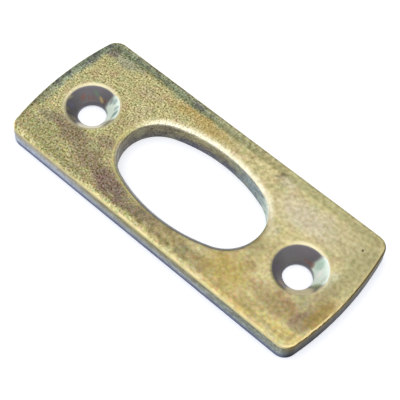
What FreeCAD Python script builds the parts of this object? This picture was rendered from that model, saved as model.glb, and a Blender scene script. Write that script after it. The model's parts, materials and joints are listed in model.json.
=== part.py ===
import FreeCAD, Part
import math
import os

import Sketcher

# A door strike plate: one piece of sheet steel, blanked with bowed ends and rounded corners, pierced with an
# oval for the bolt and drilled and countersunk for two wood screws. Blanking and piercing from the same side
# pull the upper edges down into a wide, shallow roll, and the foot of the outer wall breaks away a little.
#
# The plate lies on its back. The origin is the middle of its outline on the back face, +X runs along the
# plate, +Y across it and +Z out of the face that shows. All sizes are in millimetres.

# Each driving size: its name, its value and what it measures. The plate is laid out from the inside: the
# opening and the screws come first, and the margins give the metal that is left round them.
DRIVING_SIZES = (
    ("opening_length", "22.5", "oval opening for the bolt, along the plate"),
    ("opening_width", "13.1", "oval opening for the bolt, across the plate"),
    ("opening_side_radius", "22.0", "radius of the oval's two long flanks"),
    ("screw_hole_diameter", "4.0", "clearance hole for the shank of a wood screw"),
    ("screw_head_diameter", "7.0", "countersink for the head, measured at the face"),
    ("countersink_angle", "75.0", "full angle of the countersink, in degrees"),
    ("screw_bridge", "3.3", "metal between the opening and each countersink"),
    ("end_margin", "3.45", "metal between each countersink and the crown of its end"),
    ("side_margin", "3.75", "metal on each side of the opening"),
    ("pierce_shift_along", "-0.25", "how far the piercing sits off the middle, along the plate"),
    ("pierce_shift_across", "-0.42", "how far the piercing sits off the middle, across the plate"),
    ("plate_thickness", "3.0", "thickness of the sheet"),
    ("end_bow", "1.2", "rise of each bowed end above the line through its corners"),
    ("corner_radius", "1.85", "rounding of the four corners, seen from above"),
    ("edge_roll_width", "1.3", "how far in from the outer wall the edge is pulled down"),
    ("edge_roll_depth", "0.28", "how far down the outer edge is pulled"),
    ("opening_roll_width", "1.0", "how far out from the opening's wall its edge is pulled down"),
    ("opening_roll_depth", "0.25", "how far down the opening's edge is pulled"),
    ("countersink_rim_radius", "0.9", "rounding where each countersink meets the face"),
    ("break_height", "0.6", "height of the broken zone at the foot of the outer wall"),
    ("break_lean", "0.06", "how far the outer wall leans in over the broken zone"),
)
SIZE = {name: float(text) for name, text, meaning in DRIVING_SIZES}

# Lengths that follow from the driving sizes, as formulas that the sheet's cells feed.
PLATE_LENGTH = (
    "(sizes.opening_length + 2 * (sizes.screw_bridge + sizes.screw_head_diameter + sizes.end_margin))"
)
PLATE_WIDTH = "(sizes.opening_width + 2 * sizes.side_margin)"
END_RADIUS = f"(({PLATE_WIDTH} * {PLATE_WIDTH} / 4 + sizes.end_bow ^ 2) / (2 * sizes.end_bow))"
OPENING_TIP_RADIUS = (
    "((sizes.opening_side_radius * sizes.opening_width - sizes.opening_length ^ 2 / 4"
    " - sizes.opening_width ^ 2 / 4) / (2 * sizes.opening_side_radius - sizes.opening_length))"
)
SCREW_REACH = "(sizes.opening_length / 2 + sizes.screw_bridge + sizes.screw_head_diameter / 2)"

# A roll can't be wider than the corner that it runs round.
ROLL_SHARE_OF_CORNER = 0.8
EDGE_ROLL_WIDTH = f"min(sizes.edge_roll_width; {ROLL_SHARE_OF_CORNER} * sizes.corner_radius)"

# How far a cutting profile reaches past the metal that it removes, how closely an edge has to match the size
# that it is found by, and the least volume that a cut has to take off, in cubic millimetres.
CUTTER_OVERRUN = 1.0
MATCH = 1e-4
LEAST_CUT = 1e-3

# A sketch numbers the points of each edge in this order. Its own origin is the first point of its X axis.
START, END, CENTRE = range(1, 4)
X_AXIS = -1
SKETCH_ORIGIN = (X_AXIS, START)


def plate_length():
    """Overall length, crown to crown."""
    end_length = SIZE["screw_bridge"] + SIZE["screw_head_diameter"] + SIZE["end_margin"]
    return SIZE["opening_length"] + 2 * end_length


def plate_width():
    """Overall width, flank to flank."""
    return SIZE["opening_width"] + 2 * SIZE["side_margin"]


def make_sheet(doc):
    """Write the driving sizes into a sheet, one row each, with the name as the value's alias."""
    sheet = doc.addObject("Spreadsheet::Sheet", "sizes")
    for row, (name, text, meaning) in enumerate(DRIVING_SIZES, start=1):
        sheet.set(f"A{row}", meaning)
        sheet.set(f"B{row}", text)
        sheet.setAlias(f"B{row}", name)
    doc.recompute()
    return sheet


def add_sketch(body, name, plane_role):
    """Add a sketch on one of the body's own origin planes."""
    sketch = body.newObject("Sketcher::SketchObject", name)
    plane = next(item for item in body.Origin.OriginFeatures if item.Role == plane_role)
    sketch.AttachmentSupport = [(plane, "")]
    sketch.MapMode = "FlatFace"
    return sketch


def shift_to_piercing(sketch, height="0 mm"):
    """Move a flat sketch so that its origin lies over the middle of the piercing, at a height."""
    sketch.setExpression("AttachmentOffset.Base.x", "sizes.pierce_shift_along * 1 mm")
    sketch.setExpression("AttachmentOffset.Base.y", "sizes.pierce_shift_across * 1 mm")
    sketch.setExpression("AttachmentOffset.Base.z", height)


def tie(sketch, kind, *elements):
    """Add a constraint that has no size of its own."""
    sketch.addConstraint(Sketcher.Constraint(kind, *elements))


def fix(sketch, kind, elements, value):
    """Add a constraint with a size that no driving size changes, and give back its number."""
    return sketch.addConstraint(Sketcher.Constraint(kind, *elements, value))


def measure(sketch, kind, elements, value, formula):
    """Add a constraint with a size, and bind that size to a formula."""
    index = fix(sketch, kind, elements, value)
    sketch.setExpression(f"Constraints[{index}]", f"({formula}) * 1 mm")


def arc(centre_x, centre_y, radius, start_angle, end_angle):
    """A circular arc in a sketch's plane, turning anticlockwise between two angles in radians."""
    centre = FreeCAD.Vector(centre_x, centre_y, 0)
    circle = Part.Circle(centre, FreeCAD.Vector(0, 0, 1), radius)
    return Part.ArcOfCircle(circle, start_angle, end_angle)


def line(start, end):
    """A straight edge in a sketch's plane."""
    return Part.LineSegment(FreeCAD.Vector(*start, 0), FreeCAD.Vector(*end, 0))


def join_tangent(sketch, loop):
    """Join the edges of a closed loop end to start, each running smoothly into the next."""
    for edge, following in zip(loop, loop[1:] + loop[:1]):
        tie(sketch, "Tangent", edge, END, following, START)


def draw_outline(body):
    """The blank's outline: two straight flanks, two bowed ends and four rounded corners, all tangent."""
    sketch = add_sketch(body, "blank_outline", "XY_Plane")
    half_length = plate_length() / 2
    half_width = plate_width() / 2
    corner = SIZE["corner_radius"]
    end_radius = (half_width**2 + SIZE["end_bow"] ** 2) / (2 * SIZE["end_bow"])
    end_centre = half_length - end_radius
    corner_y = half_width - corner
    corner_angle = math.asin(corner_y / (end_radius - corner))
    corner_x = end_centre + (end_radius - corner) * math.cos(corner_angle)
    quarter = math.pi / 2

    # The loop runs anticlockwise from the right-hand end.
    right_end, far_right, far_flank, far_left, left_end, near_left, near_flank, near_right = sketch.addGeometry(
        [
            arc(end_centre, 0, end_radius, -corner_angle, corner_angle),
            arc(corner_x, corner_y, corner, corner_angle, quarter),
            line((corner_x, half_width), (-corner_x, half_width)),
            arc(-corner_x, corner_y, corner, quarter, math.pi - corner_angle),
            arc(-end_centre, 0, end_radius, math.pi - corner_angle, math.pi + corner_angle),
            arc(-corner_x, -corner_y, corner, math.pi + corner_angle, 3 * quarter),
            line((-corner_x, -half_width), (corner_x, -half_width)),
            arc(corner_x, -corner_y, corner, -quarter, -corner_angle),
        ],
        False,
    )
    loop = [right_end, far_right, far_flank, far_left, left_end, near_left, near_flank, near_right]
    join_tangent(sketch, loop)

    for flank in (far_flank, near_flank):
        tie(sketch, "Horizontal", flank)
    for end in (right_end, left_end):
        tie(sketch, "PointOnObject", end, CENTRE, X_AXIS)
        measure(sketch, "Radius", (end,), end_radius, END_RADIUS)
    crown_offset = f"{END_RADIUS} - {PLATE_LENGTH} / 2"
    measure(sketch, "DistanceX", (right_end, CENTRE, *SKETCH_ORIGIN), -end_centre, crown_offset)
    measure(sketch, "DistanceX", (*SKETCH_ORIGIN, left_end, CENTRE), -end_centre, crown_offset)
    for flank in (far_flank, near_flank):
        ends = (SKETCH_ORIGIN, (flank, START))
        lower, upper = ends if flank == far_flank else reversed(ends)
        measure(sketch, "DistanceY", (*lower, *upper), half_width, f"{PLATE_WIDTH} / 2")
    for rounding in (far_right, far_left, near_left, near_right):
        measure(sketch, "Radius", (rounding,), corner, "sizes.corner_radius")
    return sketch


def draw_opening(body):
    """The oval for the bolt: two flat flanks and two tight tips, four arcs that run into each other."""
    sketch = add_sketch(body, "opening_outline", "XY_Plane")
    shift_to_piercing(sketch)
    half_length = SIZE["opening_length"] / 2
    half_width = SIZE["opening_width"] / 2
    flank_radius = SIZE["opening_side_radius"]
    tip_radius = (2 * flank_radius * half_width - half_length**2 - half_width**2) / (
        2 * (flank_radius - half_length)
    )
    tip_x = half_length - tip_radius
    flank_y = flank_radius - half_width
    meeting_angle = math.atan2(flank_y, tip_x)

    right_tip, far_flank, left_tip, near_flank = sketch.addGeometry(
        [
            arc(tip_x, 0, tip_radius, -meeting_angle, meeting_angle),
            arc(0, -flank_y, flank_radius, meeting_angle, math.pi - meeting_angle),
            arc(-tip_x, 0, tip_radius, math.pi - meeting_angle, math.pi + meeting_angle),
            arc(0, flank_y, flank_radius, math.pi + meeting_angle, 2 * math.pi - meeting_angle),
        ],
        False,
    )
    join_tangent(sketch, [right_tip, far_flank, left_tip, near_flank])

    flank_offset = "sizes.opening_side_radius - sizes.opening_width / 2"
    measure(sketch, "DistanceY", (far_flank, CENTRE, *SKETCH_ORIGIN), flank_y, flank_offset)
    measure(sketch, "DistanceY", (*SKETCH_ORIGIN, near_flank, CENTRE), flank_y, flank_offset)
    for flank in (far_flank, near_flank):
        tie(sketch, "Vertical", flank, CENTRE, *SKETCH_ORIGIN)
        measure(sketch, "Radius", (flank,), flank_radius, "sizes.opening_side_radius")
    for tip in (right_tip, left_tip):
        measure(sketch, "Radius", (tip,), tip_radius, OPENING_TIP_RADIUS)
    return sketch


def draw_roll_profile(body, name, roll):
    """What a roll takes off an upper edge, in section: a quarter ellipse that leaves the face level and
    meets the wall upright, closed by a box over the edge."""
    sketch = add_sketch(body, name, "YZ_Plane")
    thickness = SIZE["plate_thickness"]
    wall, width, depth = roll["wall"], roll["width"], roll["depth"]
    foot_height = thickness - depth
    outside = wall + math.copysign(CUTTER_OVERRUN, width)
    above = thickness + CUTTER_OVERRUN
    corners = [(wall - width, thickness), (wall - width, above), (outside, above), (outside, foot_height)]
    corners.append((wall, foot_height))

    # An ellipse's angles run anticlockwise, so an edge that opens towards -Y has its wall point last.
    quarter = math.pi / 2
    first_angle = 0 if width > 0 else quarter
    at_wall, at_face = (START, END) if width > 0 else (END, START)
    ellipse = Part.Ellipse(FreeCAD.Vector(wall - width, foot_height, 0), abs(width), depth)
    curve = sketch.addGeometry(Part.ArcOfEllipse(ellipse, first_angle, first_angle + quarter), False)
    sketch.exposeInternalGeometry(curve)
    long_axis = curve + 1
    sides = [sketch.addGeometry(line(*pair), False) for pair in zip(corners, corners[1:])]
    rise, top, drop, foot = sides

    tie(sketch, "Coincident", curve, at_face, rise, START)
    for side, following in zip(sides, sides[1:]):
        tie(sketch, "Coincident", side, END, following, START)
    tie(sketch, "Coincident", foot, END, curve, at_wall)
    for upright in (rise, drop):
        tie(sketch, "Vertical", upright)
    for level in (top, foot, long_axis):
        tie(sketch, "Horizontal", level)
    tie(sketch, "Horizontal", curve, CENTRE, curve, at_wall)
    tie(sketch, "Vertical", curve, CENTRE, curve, at_face)

    measure(sketch, "DistanceX", (*SKETCH_ORIGIN, curve, at_wall), wall, roll["wall_formula"])
    measure(sketch, "DistanceX", (curve, CENTRE, curve, at_wall), width, roll["width_formula"])
    measure(sketch, "DistanceY", (curve, CENTRE, curve, at_face), depth, roll["depth_formula"])
    measure(sketch, "DistanceY", (*SKETCH_ORIGIN, curve, at_face), thickness, "sizes.plate_thickness")
    fix(sketch, "DistanceY", (rise, START, rise, END), CUTTER_OVERRUN)
    fix(sketch, "DistanceX", (foot, END, foot, START), outside - wall)
    return sketch


def draw_break_profile(body, name):
    """What breaks away at the foot of the outer wall, in section: a thin wedge, closed by a box under it."""
    sketch = add_sketch(body, name, "YZ_Plane")
    wall = plate_width() / 2
    toe = wall - SIZE["break_lean"]
    outside = wall + CUTTER_OVERRUN
    corners = [(wall, SIZE["break_height"]), (toe, 0), (toe, -CUTTER_OVERRUN)]
    corners += [(outside, -CUTTER_OVERRUN), (outside, SIZE["break_height"])]
    sides = [sketch.addGeometry(line(*pair), False) for pair in zip(corners, corners[1:] + corners[:1])]
    lean, drop, floor, rise, top = sides

    for side, following in zip(sides, sides[1:] + sides[:1]):
        tie(sketch, "Coincident", side, END, following, START)
    for upright in (drop, rise):
        tie(sketch, "Vertical", upright)
    for level in (floor, top):
        tie(sketch, "Horizontal", level)
    tie(sketch, "PointOnObject", lean, END, X_AXIS)
    measure(sketch, "DistanceX", (*SKETCH_ORIGIN, lean, START), wall, f"{PLATE_WIDTH} / 2")
    measure(sketch, "DistanceX", (lean, END, lean, START), SIZE["break_lean"], "sizes.break_lean")
    measure(sketch, "DistanceY", (lean, END, lean, START), SIZE["break_height"], "sizes.break_height")
    fix(sketch, "DistanceY", (drop, END, drop, START), CUTTER_OVERRUN)
    fix(sketch, "DistanceX", (lean, START, top, START), CUTTER_OVERRUN)
    return sketch


def draw_screw_centres(body):
    """The two screw holes' circles, on the face that shows, each the same way from the middle."""
    sketch = add_sketch(body, "screw_centres", "XY_Plane")
    shift_to_piercing(sketch, "sizes.plate_thickness * 1 mm")
    reach = SIZE["opening_length"] / 2 + SIZE["screw_bridge"] + SIZE["screw_head_diameter"] / 2
    radius = SIZE["screw_hole_diameter"] / 2
    for side in (-1, 1):
        centre = FreeCAD.Vector(side * reach, 0, 0)
        circle = sketch.addGeometry(Part.Circle(centre, FreeCAD.Vector(0, 0, 1), radius), False)
        tie(sketch, "PointOnObject", circle, CENTRE, X_AXIS)
        measure(sketch, "DistanceX", (*SKETCH_ORIGIN, circle, CENTRE), side * reach, f"{side} * {SCREW_REACH}")
        measure(sketch, "Radius", (circle,), radius, "sizes.screw_hole_diameter / 2")
    return sketch


def pad_blank(body, outline):
    """The blank, as thick as the sheet."""
    blank = body.newObject("PartDesign::Pad", "blank")
    blank.Profile = outline
    blank.setExpression("Length", "sizes.plate_thickness * 1 mm")
    return blank


def pierce_opening(body, opening):
    """The opening, pierced right through upwards from the back face, where its sketch lies."""
    pierced = body.newObject("PartDesign::Pocket", "pierced_opening")
    pierced.Profile = opening
    pierced.Type = "ThroughAll"
    pierced.Reversed = True
    return pierced


def sweep_cut(body, name, profile, path):
    """Cut a profile away all round a closed path."""
    cut = body.newObject("PartDesign::SubtractivePipe", name)
    cut.Profile = profile
    cut.Spine = path
    return cut


def drill_screw_holes(body, centres):
    """Two through holes, countersunk from the face that shows."""
    holes = body.newObject("PartDesign::Hole", "screw_holes")
    holes.Profile = centres
    body.Document.recompute()
    holes.ThreadType = "None"
    holes.DepthType = "ThroughAll"
    holes.HoleCutType = "Countersink"
    holes.setExpression("Diameter", "sizes.screw_hole_diameter * 1 mm")
    holes.setExpression("HoleCutDiameter", "sizes.screw_head_diameter * 1 mm")
    holes.setExpression("HoleCutCountersinkAngle", "sizes.countersink_angle * 1 deg")
    return holes


def round_countersink_rims(body, holes):
    """Soften the rim of each countersink, found as the round edges of the head's size on the face."""
    rims = []
    for number, edge in enumerate(holes.Shape.Edges, start=1):
        round_edge = isinstance(edge.Curve, Part.Circle)
        on_face = math.isclose(edge.BoundBox.ZMin, SIZE["plate_thickness"], abs_tol=MATCH)
        if round_edge and on_face:
            if math.isclose(2 * edge.Curve.Radius, SIZE["screw_head_diameter"], abs_tol=MATCH):
                rims.append(f"Edge{number}")
    rounding = body.newObject("PartDesign::Fillet", "countersink_rims")
    rounding.Base = (holes, rims)
    rounding.setExpression("Radius", "sizes.countersink_rim_radius * 1 mm")
    return rounding


def expect_cut(doc, feature, before):
    """Recompute, and stop if a cutting feature has taken nothing off the body."""
    doc.recompute()
    if feature.Shape.Volume > before.Shape.Volume - LEAST_CUT:
        raise RuntimeError(f"{feature.Name} cuts nothing")
    return feature


def build_plate(doc):
    """The plate as one body: blank, pierce, roll and break the edges, drill and countersink."""
    body = doc.addObject("PartDesign::Body", "strike_plate")
    body.Label = "strike_plate"
    outline = draw_outline(body)
    opening = draw_opening(body)
    blank = pad_blank(body, outline)
    doc.recompute()
    pierced = expect_cut(doc, pierce_opening(body, opening), blank)

    edge_profile = draw_roll_profile(
        body,
        "edge_roll_profile",
        {
            "wall": plate_width() / 2,
            "wall_formula": f"{PLATE_WIDTH} / 2",
            "width": SIZE["edge_roll_width"],
            "width_formula": EDGE_ROLL_WIDTH,
            "depth": SIZE["edge_roll_depth"],
            "depth_formula": "sizes.edge_roll_depth",
        },
    )
    edge_rolled = expect_cut(doc, sweep_cut(body, "edge_roll", edge_profile, outline), pierced)

    # The opening's wall opens the other way, so its roll's width counts as negative.
    opening_profile = draw_roll_profile(
        body,
        "opening_roll_profile",
        {
            "wall": SIZE["opening_width"] / 2,
            "wall_formula": "sizes.opening_width / 2",
            "width": -SIZE["opening_roll_width"],
            "width_formula": "-sizes.opening_roll_width",
            "depth": SIZE["opening_roll_depth"],
            "depth_formula": "sizes.opening_roll_depth",
        },
    )
    opening_profile.setExpression("AttachmentOffset.Base.x", "sizes.pierce_shift_across * 1 mm")
    opening_profile.setExpression("AttachmentOffset.Base.z", "sizes.pierce_shift_along * 1 mm")
    opening_rolled = expect_cut(doc, sweep_cut(body, "opening_roll", opening_profile, opening), edge_rolled)

    break_profile = draw_break_profile(body, "break_profile")
    broken = expect_cut(doc, sweep_cut(body, "wall_break", break_profile, outline), opening_rolled)

    drilled = expect_cut(doc, drill_screw_holes(body, draw_screw_centres(body)), broken)
    expect_cut(doc, round_countersink_rims(body, drilled), drilled)
    return body


def check(doc, bodies):
    """Stop if any object failed, or any body isn't one valid solid."""
    for item in doc.Objects:
        if {"Invalid", "Error"} & set(item.State):
            raise RuntimeError(f"{item.Name} failed: {item.State}")
    for body in bodies:
        if body.Shape.isNull() or not body.Shape.isValid() or len(body.Shape.Solids) != 1:
            raise RuntimeError(f"{body.Label} isn't one valid solid")


def main():
    doc = FreeCAD.newDocument("door_strike_plate")
    make_sheet(doc)
    bodies = [build_plate(doc)]
    check(doc, bodies)
    os.makedirs("parts", exist_ok=True)
    for body in bodies:
        body.Shape.exportStep(f"parts/{body.Label}.step")
        box = body.Shape.BoundBox
        print(f"{body.Label}: {box.XLength:.3f} x {box.YLength:.3f} x {box.ZLength:.3f} mm,", end=" ")
        print(f"{body.Shape.Volume:.2f} mm3, {len(body.Shape.Faces)} faces")


main()
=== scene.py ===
"""Door strike plate: a blanked steel plate, zinc plated and yellow passivated, lying on a pale floor."""

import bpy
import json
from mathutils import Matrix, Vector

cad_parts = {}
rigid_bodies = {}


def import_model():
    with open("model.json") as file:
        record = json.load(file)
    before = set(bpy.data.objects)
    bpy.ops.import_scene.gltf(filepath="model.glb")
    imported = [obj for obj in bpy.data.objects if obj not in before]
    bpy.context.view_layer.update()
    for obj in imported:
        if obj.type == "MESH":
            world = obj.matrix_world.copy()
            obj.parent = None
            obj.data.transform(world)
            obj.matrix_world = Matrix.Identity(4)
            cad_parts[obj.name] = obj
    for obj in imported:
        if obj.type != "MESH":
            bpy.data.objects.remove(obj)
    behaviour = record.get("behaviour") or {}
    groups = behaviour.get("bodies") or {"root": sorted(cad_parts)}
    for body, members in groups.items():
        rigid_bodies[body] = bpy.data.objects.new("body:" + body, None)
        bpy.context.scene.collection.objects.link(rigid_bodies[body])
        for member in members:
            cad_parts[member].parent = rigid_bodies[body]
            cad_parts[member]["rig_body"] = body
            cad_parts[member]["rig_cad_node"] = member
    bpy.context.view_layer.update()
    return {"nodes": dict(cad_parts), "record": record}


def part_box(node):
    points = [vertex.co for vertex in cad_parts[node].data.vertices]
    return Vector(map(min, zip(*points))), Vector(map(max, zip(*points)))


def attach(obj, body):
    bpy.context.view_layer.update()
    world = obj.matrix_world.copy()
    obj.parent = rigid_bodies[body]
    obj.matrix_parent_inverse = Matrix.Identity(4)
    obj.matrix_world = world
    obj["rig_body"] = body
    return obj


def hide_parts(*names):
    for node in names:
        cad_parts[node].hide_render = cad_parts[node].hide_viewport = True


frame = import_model()

import json
from collections import namedtuple
from math import ceil, cos, pi, radians, sin, tan

import bpy
from bpy.props import FloatProperty, FloatVectorProperty, PointerProperty
from mathutils import Matrix, Vector
from mathutils.kdtree import KDTree

bl_info = {
    "name": "Door strike plate",
    "version": (1, 0, 0),
    "blender": (4, 5, 0),
    "location": "View3D > Sidebar > Strike plate",
    "description": "Dresses the strike plate in its passivated finish and sets its floor, light and camera",
    "category": "Object",
}

MM = 0.001
NODE = "strike_plate"
BODY = "root"

# The plate's own places, in metres, from the frame and the record.
LOW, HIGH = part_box(NODE)
SCREWS = next(mount for mount in frame["record"]["mounts"] if mount["name"] == "screws")
PIERCING = Vector(SCREWS["pos_m"])
HALF_SPACING = SCREWS["dims"]["spacing_x_mm"] * MM / 2
HOLES = [PIERCING + Vector((side * HALF_SPACING, 0, 0)) for side in (-1, 1)]

# Attributes of the plate's mesh: plan distance from its outer wall and from the opening's wall.
FROM_EDGE = "from_edge"
FROM_OPENING = "from_opening"

# Along the plate: where the tarnished film of the left ends, where the clean film of the right is full, and
# where the right end is reached.
TARNISHED_END = -8 * MM
CLEAN_END = 10 * MM
RIGHT_END = 24 * MM

# Distances over which one finish gives way to another, from start to full: plan distance from a wall, and
# distance from a screw's axis at the rim of its countersink.
WALL = (0.07 * MM, 0.015 * MM)
RIM_START = 3.54 * MM
RIM_FULL = 3.40 * MM

# Patches in the countersinks: the middle from the screw's axis, and the distances from there at which the
# patch starts and is full. One is a painted highlight, the other a painted reflection on the near side.
PAINTED_HIGHLIGHT_PATCH = (Vector((2.5, 1.9)) * MM, 2.43 * MM, 1.485 * MM)
PAINTED_REFLECTION_PATCH = (Vector((2.1, -2.5)) * MM, 2.5 * MM, 1.125 * MM)

# Sizes of the noises: the wavering of the stains' edges and how far it swings, the clouds and the flecks.
WAVER_SIZE = 2.0 * MM
GENTLE_SWING = 0.8 * MM
RAGGED_SWING = 3.0 * MM
CLOUD_SIZE = 1.6 * MM
FLECK_SIZE = 0.5 * MM

# How often the tools' marks repeat in a wall along x, y and z: narrow upright lines and flat level bands.
UPRIGHT_LINES = (5.0 / MM, 5.0 / MM, 0.9 / MM)
LEVEL_BANDS = (0.7 / MM, 0.7 / MM, 1 / (0.35 * MM))

# Levels of a noise at which its marks start and are full: clouds, the grain's hollows and tips, and the
# tools' lines and pale bands.
CLOUD = (0.50, 0.70)
HOLLOW = (0.50, 0.38)
TIP = (0.52, 0.66)
SCORE = (0.45, 0.75)
PALE_BAND = (0.46, 0.34)

# Share of a stain's reach within which it shows in full.
STAIN_CORE = 0.3


def linear(hex_colour):
    """Linear red, green and blue of an sRGB colour written as #rrggbb."""
    channels = [int(hex_colour[i:i + 2], 16) / 255 for i in (1, 3, 5)]
    return [c / 12.92 if c <= 0.04045 else ((c + 0.055) / 1.055) ** 2.4 for c in channels]


def rgba(colour):
    """A colour with its alpha, from a hex value or three linear numbers."""
    return (*(linear(colour) if isinstance(colour, str) else colour), 1.0)


def colour_property(name, description, hex_colour):
    """A colour that a user may change, written as sRGB."""
    return FloatVectorProperty(name=name, description=description, subtype="COLOR", size=3,
                               min=0, max=1, default=linear(hex_colour))


def length_property(name, description, millimetres):
    """A length that a user may change."""
    return FloatProperty(name=name, description=description, subtype="DISTANCE", unit="LENGTH",
                         precision=5, default=millimetres * MM)


def angle_property(name, description, degrees):
    """An angle that a user may change."""
    return FloatProperty(name=name, description=description, subtype="ANGLE", default=radians(degrees))


class PlateShape(bpy.types.PropertyGroup):
    """How the plate's mesh is divided and worn."""
    pitch: length_property("Pitch", "Spacing of the cuts that divide the faces", 0.5)
    sliver: length_property("Sliver", "Points closer than this become one", 0.01)
    wave_height: length_property("Wave height", "Depth of the waves that tumbling left in the surface", 0.016)
    wave_length: length_property("Wave length", "Distance from one wave to the next", 4.0)
    sharp_angle: angle_property("Sharp angle", "Edges turned further than this stay crisp", 32)


class PlateFinish(bpy.types.PropertyGroup):
    """Colours and grain of the passivated skin."""
    straw: colour_property("Straw", "Film on the cleaner end", "#c8bb88")
    olive: colour_property("Olive", "Film on the tarnished end", "#bdb480")
    tinted_patch: colour_property("Bloom", "Green grey film on the far and left edges", "#a4af90")
    # Pale colour on the rims: wear, with a painted highlight.
    wear_and_highlight: colour_property("Worn", "Thin pale film on the rims", "#e6dcb6")
    zinc: colour_property("Zinc", "Bluish zinc on the sheared walls", "#959c9e")
    # Fractured steel at the walls' foot, darkened as a painted contact shadow.
    torn_and_shaded: colour_property("Torn foot", "Dark torn steel at the foot of the walls", "#3f4c74")
    pierced: colour_property("Pierced wall", "Brown film on the opening's wall", "#98906a")
    cone: colour_property("Cone", "Cut steel in the countersinks", "#878283")
    # A painted highlight on one side of the countersinks.
    painted_highlight: colour_property("Chalk", "White zinc bloom on one side of the countersinks", "#e9f6e4")
    roughness: FloatProperty(name="Roughness", description="Roughness of the film", default=0.38)
    grain: length_property("Grain", "Width of the grain, drawn coarser than the real one to show", 0.27)
    grain_depth: length_property("Grain depth", "Height of the grain", 0.005)


class Studio(bpy.types.PropertyGroup):
    """Camera, lamps and floor."""
    azimuth: angle_property("Azimuth", "Camera's turn round the plate", 37.54)
    elevation: angle_property("Elevation", "Camera's height above the floor", 57.88)
    roll: angle_property("Roll", "Camera's turn about its own line of sight", 5.14)
    distance: length_property("Distance", "From the camera to the plate's middle", 156.3)
    side_step: length_property("Side step", "Camera's shift to its own right", 0.724)
    rise: length_property("Rise", "Camera's shift upwards in its own frame", -0.622)
    lens: FloatProperty(name="Lens", description="Focal length on a 36 mm sensor", default=107.28)
    lamp_height: length_property("Lamp height", "Softbox above the floor", 600)
    lamp_shift: FloatVectorProperty(name="Lamp shift", description="Softbox off the plate's middle",
                                    subtype="XYZ", unit="LENGTH", size=2, default=(-0.05, 0.05))
    lamp_angle: angle_property("Lamp angle", "Half the angle that the softbox fills", 42)
    lamp_brightness: FloatProperty(name="Lamp brightness", description="Radiance of the softbox", default=0.9)
    fill: FloatProperty(name="Fill", description="Mean radiance of the room round the plate", default=0.58)
    floor: colour_property("Floor", "White card under the plate", "#f0f0f0")
    floor_glow: FloatProperty(name="Floor glow", description="Light that the card seems to give off",
                              default=0.42)


class StrikePlateSettings(bpy.types.PropertyGroup):
    """All settings of the strike plate."""
    shape: PointerProperty(type=PlateShape)
    finish: PointerProperty(type=PlateFinish)
    studio: PointerProperty(type=Studio)


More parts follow.
